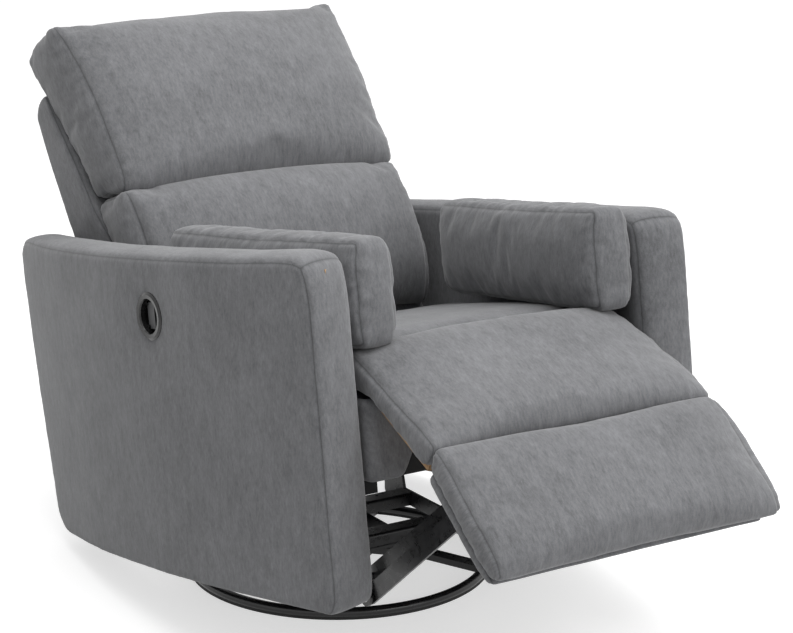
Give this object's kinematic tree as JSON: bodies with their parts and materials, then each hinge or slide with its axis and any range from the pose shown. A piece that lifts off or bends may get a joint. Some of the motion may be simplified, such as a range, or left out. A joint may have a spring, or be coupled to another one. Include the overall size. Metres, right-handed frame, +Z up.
{
  "type": "swivel_glider_recliner",
  "caption": "Upholstered swivel glider recliner in grey microfibre, footrest raised, curved slab arms with loose pillows, side pull latch, black steel linkage and round base",
  "frame": {"origin": "on the floor at the centre of the base ring, on the swivel axis", "axes": "+Z up, -Y is the way the sitter faces, +X to the sitter's left"},
  "size_m": [0.8655, 1.5077, 0.9646],
  "materials": {
    "upholstery": "soft brushed microfibre, mid grey with a fine mottled nap",
    "frame_wood": "plain sawn board, unfinished",
    "black_steel": "black enamel with a satin shine",
    "rivet_steel": "zinc plated rivets and pins",
    "spring_wire": "oiled spring wire",
    "floor_rubber": "matte black strip",
    "webbing": "woven black webbing",
    "latch_plastic": "moulded, semi-gloss",
    "paddle_plastic": "moulded, fine satin"
  },
  "bodies": {
    "base": {"floor_strip": "floor_rubber", "base_ring": "black_steel", "base_arms": "black_steel", "swivel_hub": "black_steel", "bearing_balls": "rivet_steel"},
    "swivel_frame": {"swivel_plate": "black_steel", "base_channels": "black_steel", "base_side_members": "black_steel", "glider_posts": "black_steel", "glider_post_pins": "rivet_steel"},
    "front_links": {"front_glide_links": "black_steel"},
    "rear_links": {"rear_glide_links": "black_steel"},
    "chair": {"mechanism_plate_left": "black_steel", "mechanism_plate_right": "black_steel", "cross_tubes": "black_steel", "hanger_pins": "rivet_steel", "seat_side_rails": "frame_wood", "front_rail": "frame_wood", "rear_rail": "frame_wood", "front_rail_cover": "upholstery", "arm_blocks": "frame_wood", "seat_springs": "spring_wire", "seat_cushion": "upholstery", "shoulder_pad": "upholstery", "arm_left": "upholstery", "arm_right": "upholstery", "arm_frames": "frame_wood", "latch_cup": "latch_plastic", "latch_pin": "rivet_steel", "rail_hinges": "black_steel", "recline_brackets": "black_steel", "recline_pins": "rivet_steel"},
    "drive": {"drive_arms": "black_steel", "torque_tube": "black_steel", "knee_pins": "rivet_steel"},
    "lift_bars": {"lift_bar_left": "black_steel", "lift_bar_right": "black_steel"},
    "guide_bars": {"guide_bar_left": "black_steel", "guide_bar_right": "black_steel"},
    "footrest": {"footrest_board": "frame_wood", "footrest_pad": "upholstery", "footrest_brackets": "black_steel", "bracket_pins": "rivet_steel", "footrest_hinge_leaves": "black_steel"},
    "chaise": {"chaise_board": "frame_wood", "chaise_pad": "upholstery", "chaise_hinge_leaves": "black_steel", "chaise_front_leaves": "black_steel"},
    "back": {"back_posts": "frame_wood", "back_rails": "frame_wood", "back_webbing": "webbing", "back_shell": "upholstery", "lumbar_cushion": "upholstery", "head_cushion": "upholstery", "back_hinge_leaves": "black_steel"},
    "pillow_left": {"arm_pillow_left": "upholstery"},
    "pillow_right": {"arm_pillow_right": "upholstery"},
    "latch": {"latch_paddle": "paddle_plastic"}
  },
  "joints": [
    {"name": "swivel", "type": "hinge", "parent": "base", "child": "swivel_frame", "pos_m": [0, 0, 0.047], "axis": [0, 0, 1], "continuous": true},
    {"name": "glide", "type": "hinge", "parent": "swivel_frame", "child": "front_links", "pos_m": [0, -0.15, 0.268], "axis": [-1, 0, 0], "range_deg": [0, 26]},
    {"name": "glide_hanger", "type": "hinge", "parent": "front_links", "child": "chair", "pos_m": [0, -0.08, 0.185], "axis": [-1, 0, 0], "range_deg": [-37, 1]},
    {"name": "glide_rear", "type": "hinge", "parent": "swivel_frame", "child": "rear_links", "pos_m": [0, 0.1613, 0.266], "axis": [-1, 0, 0], "range_deg": [-1, 18]},
    {"name": "footrest_drive", "type": "hinge", "parent": "chair", "child": "drive", "pos_m": [0, -0.34219, 0.30066], "axis": [-1, 0, 0], "range_deg": [-39, 37]},
    {"name": "lift_bar_knee", "type": "hinge", "parent": "drive", "child": "lift_bars", "pos_m": [0, -0.46145, 0.13798], "axis": [-1, 0, 0], "range_deg": [-35, 37]},
    {"name": "footrest_bracket_pivot", "type": "hinge", "parent": "lift_bars", "child": "footrest", "pos_m": [0, -0.70983, 0.34436], "axis": [-1, 0, 0], "range_deg": [-48, 46]},
    {"name": "guide_bar_knee", "type": "hinge", "parent": "drive", "child": "guide_bars", "pos_m": [0, -0.44296, 0.1594], "axis": [-1, 0, 0], "range_deg": [-35, 37]},
    {"name": "chaise_hinge", "type": "hinge", "parent": "chair", "child": "chaise", "pos_m": [0, -0.53919, 0.48594], "axis": [-1, 0, 0], "range_deg": [-30, 28]},
    {"name": "recline", "type": "hinge", "parent": "chair", "child": "back", "pos_m": [0, 0.17284, 0.32019], "axis": [-1, 0, 0], "range_deg": [-13, 17]},
    {"name": "latch_pull", "type": "hinge", "parent": "chair", "child": "latch", "pos_m": [-0.41684, -0.09857, 0.54935], "axis": [0, -0.1528, -0.9883], "range_deg": [0, 25], "stiffness_Nm_per_rad": 0.05, "springref_deg": -11.46},
    {"name": "pillow_left_lift", "type": "slide", "parent": "chair", "child": "pillow_left", "axis": [0, 0.1528, 0.9883], "range_m": [0, 0.25]},
    {"name": "pillow_right_lift", "type": "slide", "parent": "chair", "child": "pillow_right", "axis": [0, 0.1528, 0.9883], "range_m": [0, 0.25]}
  ],
  "couplings": [
    {"joint": "glide_hanger", "follows": "glide", "ratio": -1.4},
    {"joint": "glide_rear", "follows": "glide", "ratio": 0.67},
    {"joint": "lift_bar_knee", "follows": "footrest_drive", "ratio": -0.9156},
    {"joint": "footrest_bracket_pivot", "follows": "footrest_drive", "ratio": 1.1922},
    {"joint": "guide_bar_knee", "follows": "footrest_drive", "ratio": -0.9156},
    {"joint": "chaise_hinge", "follows": "footrest_drive", "ratio": 0.7443}
  ]
}
